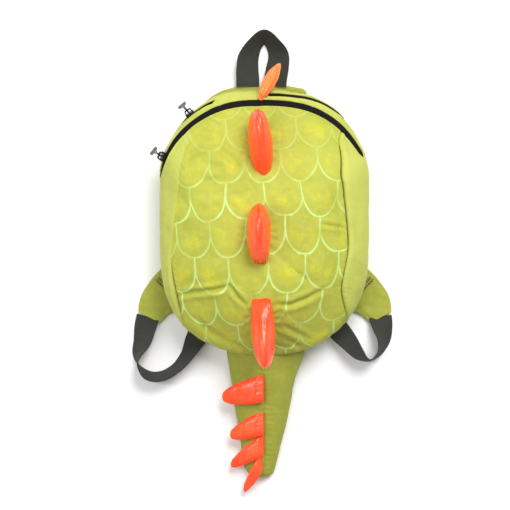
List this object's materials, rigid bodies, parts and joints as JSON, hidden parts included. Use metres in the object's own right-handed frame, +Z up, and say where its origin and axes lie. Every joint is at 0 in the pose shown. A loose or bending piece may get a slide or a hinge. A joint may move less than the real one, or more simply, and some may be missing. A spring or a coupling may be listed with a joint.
{
  "type": "child's dinosaur backpack",
  "caption": "Toddler's backpack in yellow-green cloth with stuffed orange spikes, a stuffed tail, two zips over the top, a webbing handle and shoulder straps. It lies on its back.",
  "frame": {"origin": "middle of the flat part of the back panel, in the plane that the bag lies on", "axes": "+X to the bag's right in front view, +Y from the tail towards the handle, +Z up out of the front panel"},
  "size_m": [0.2808, 0.4945, 0.1349],
  "materials": {
    "printed_cloth": "matt polyester, yellow-green, printed with pale mint fish scales",
    "plain_cloth": "matt plain polyester, yellow-green",
    "back_cloth": "matt plain polyester, yellow-green",
    "spike_satin": "smooth satin, red-orange",
    "top_spike_satin": "smooth satin, orange",
    "webbing": "woven ribbed webbing, dark grey",
    "zip_tape": "black zip tape with a coil",
    "slider_metal": "black lacquered zip slider",
    "pull_metal": "dull silver-grey pull"
  },
  "bodies": {
    "bag": {"front_panel": "printed_cloth", "back_panel": "back_cloth", "gusset_base": "plain_cloth", "gusset_rear": "plain_cloth", "gusset_middle": "plain_cloth", "gusset_front": "plain_cloth", "zip_front": "zip_tape", "zip_rear": "zip_tape", "tail": "plain_cloth", "spike_front_1": "spike_satin", "spike_front_2": "spike_satin", "spike_front_3": "spike_satin", "spike_top": "top_spike_satin", "spike_tail_1": "spike_satin", "spike_tail_2": "spike_satin", "spike_tail_3": "spike_satin", "spike_tail_4": "spike_satin", "back_yoke": "back_cloth", "shoulder_strap_left": "back_cloth", "shoulder_strap_right": "back_cloth", "webbing_left": "webbing", "webbing_right": "webbing", "grab_handle": "webbing", "slider_front": "slider_metal", "slider_rear": "slider_metal"},
    "front_pull": {"pull_front": "pull_metal"},
    "rear_pull": {"pull_rear": "pull_metal"}
  },
  "joints": [
    {"name": "front_pull_hinge", "type": "hinge", "parent": "bag", "child": "front_pull", "pos_m": [-0.10729, 0.0662, 0.05475], "axis": [-0.3818, 0.2353, -0.8938], "range_deg": [-77, 58]},
    {"name": "rear_pull_hinge", "type": "hinge", "parent": "bag", "child": "rear_pull", "pos_m": [-0.07889, 0.11366, 0.03837], "axis": [-0.1372, 0.2983, -0.9446], "range_deg": [-60, 75]}
  ]
}
